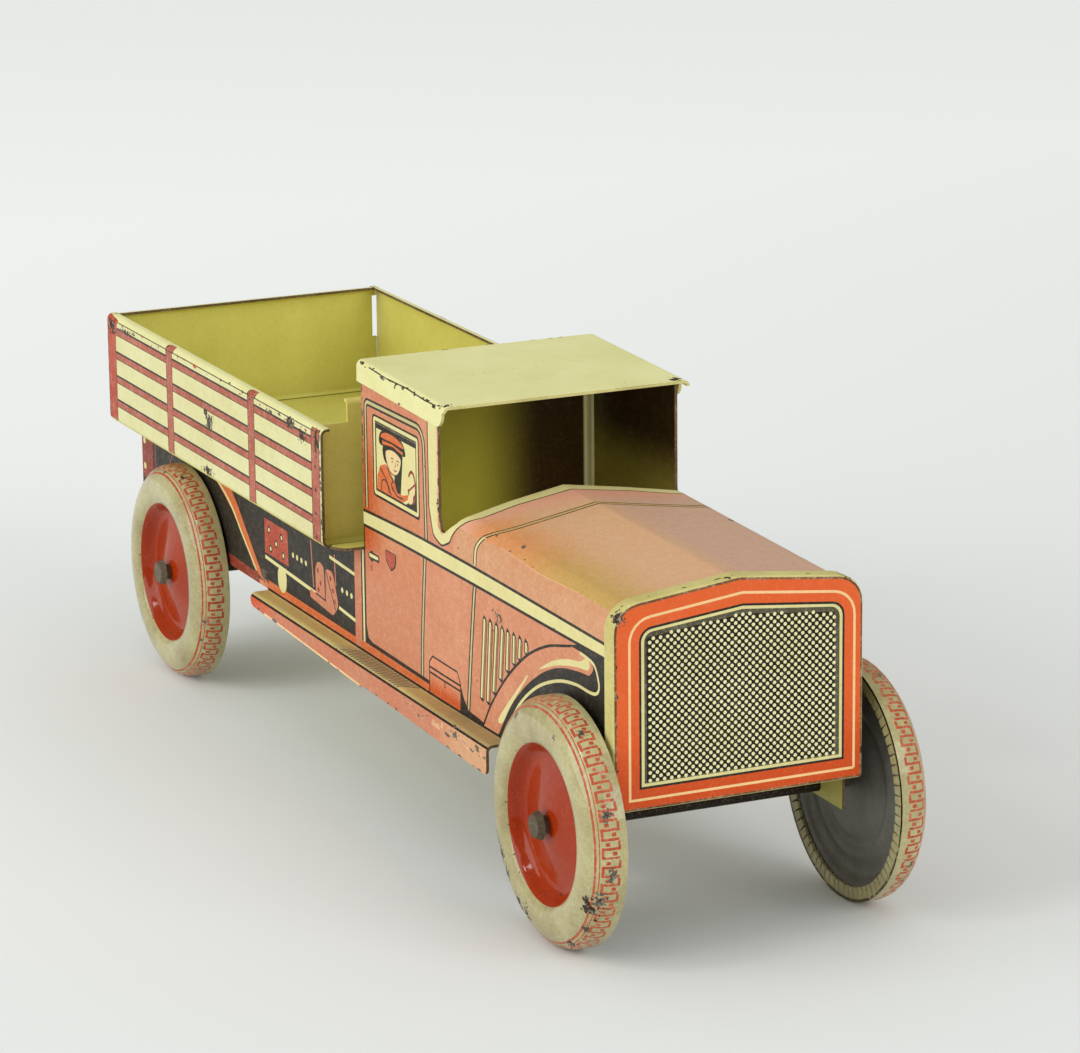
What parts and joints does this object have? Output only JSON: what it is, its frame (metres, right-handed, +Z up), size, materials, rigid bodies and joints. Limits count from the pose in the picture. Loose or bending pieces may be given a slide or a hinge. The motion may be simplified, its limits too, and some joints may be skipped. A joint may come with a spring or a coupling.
{
  "type": "toy truck",
  "caption": "Small lithographed tinplate toy truck with a drop-side load bed, open-fronted cab, gabled radiator and pressed disc wheels that roll on wire axles.",
  "frame": {"origin": "on the floor, under the middle of the whole toy", "axes": "+X forward to the radiator, +Y to the driver's left, +Z up"},
  "size_m": [0.172, 0.049, 0.0613],
  "materials": {
    "coral_print": "satin",
    "red_print": "satin",
    "cream_lacquer": "satin",
    "olive_lacquer": "satin",
    "wheel_print": "satin",
    "bare_tin": "dull",
    "steel_wire": "dull"
  },
  "bodies": {
    "chassis": {"body_shell": "coral_print", "radiator": "red_print", "cab_roof": "cream_lacquer", "cab_back_wall": "olive_lacquer", "bed_tray": "cream_lacquer", "bed_bulkhead": "olive_lacquer", "front_axle": "steel_wire", "rear_axle": "steel_wire"},
    "wheel_front_left": {"wheel_front_left_shell": "wheel_print", "wheel_front_left_disc": "bare_tin"},
    "wheel_front_right": {"wheel_front_right_shell": "wheel_print", "wheel_front_right_disc": "bare_tin"},
    "wheel_rear_left": {"wheel_rear_left_shell": "wheel_print", "wheel_rear_left_disc": "bare_tin"},
    "wheel_rear_right": {"wheel_rear_right_shell": "wheel_print", "wheel_rear_right_disc": "bare_tin"}
  },
  "joints": [
    {"name": "front_left_spin", "type": "hinge", "parent": "chassis", "child": "wheel_front_left", "pos_m": [0.07005, 0.02145, 0.016], "axis": [0, 1, 0], "continuous": true},
    {"name": "front_right_spin", "type": "hinge", "parent": "chassis", "child": "wheel_front_right", "pos_m": [0.07005, -0.02145, 0.016], "axis": [0, 1, 0], "continuous": true},
    {"name": "rear_left_spin", "type": "hinge", "parent": "chassis", "child": "wheel_rear_left", "pos_m": [-0.06415, 0.02145, 0.016], "axis": [0, 1, 0], "continuous": true},
    {"name": "rear_right_spin", "type": "hinge", "parent": "chassis", "child": "wheel_rear_right", "pos_m": [-0.06415, -0.02145, 0.016], "axis": [0, 1, 0], "continuous": true}
  ]
}
